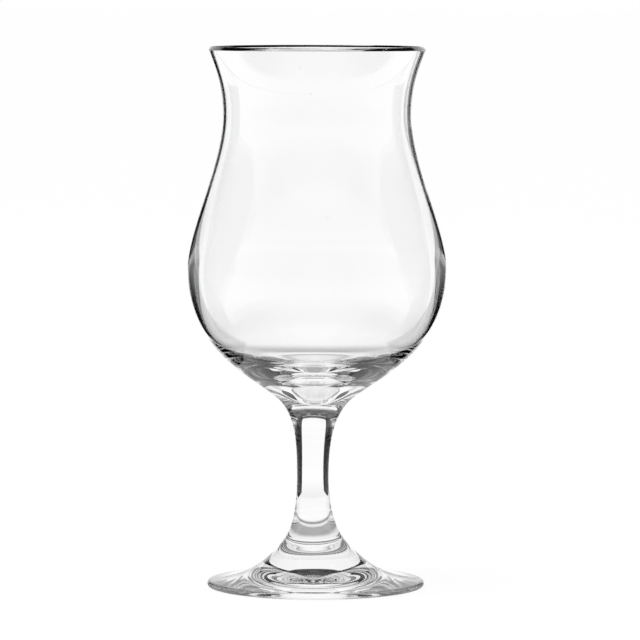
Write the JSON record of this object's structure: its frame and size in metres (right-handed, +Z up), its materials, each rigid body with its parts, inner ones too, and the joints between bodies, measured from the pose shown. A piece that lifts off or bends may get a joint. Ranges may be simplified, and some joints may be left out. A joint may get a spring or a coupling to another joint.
{
  "type": "poco grande glass",
  "caption": "Clear glass hourglass bowl with a flared rim and rounded belly on a slim solid stem and a round flared foot, for holding and serving mixed drinks.",
  "frame": {"origin": "on the table, under the middle of the foot", "axes": "+Z up along the glass's axis, towards the rim; +Y away from the picture's viewer"},
  "size_m": [0.0862, 0.0862, 0.18],
  "materials": {
    "bowl_glass": "clear blown glass, cut and fire-polished rim",
    "stem_glass": "clear drawn glass",
    "foot_glass": "clear pressed glass"
  },
  "bodies": {
    "root": {"bowl": "bowl_glass", "stem": "stem_glass", "foot": "foot_glass"}
  },
  "joints": []
}
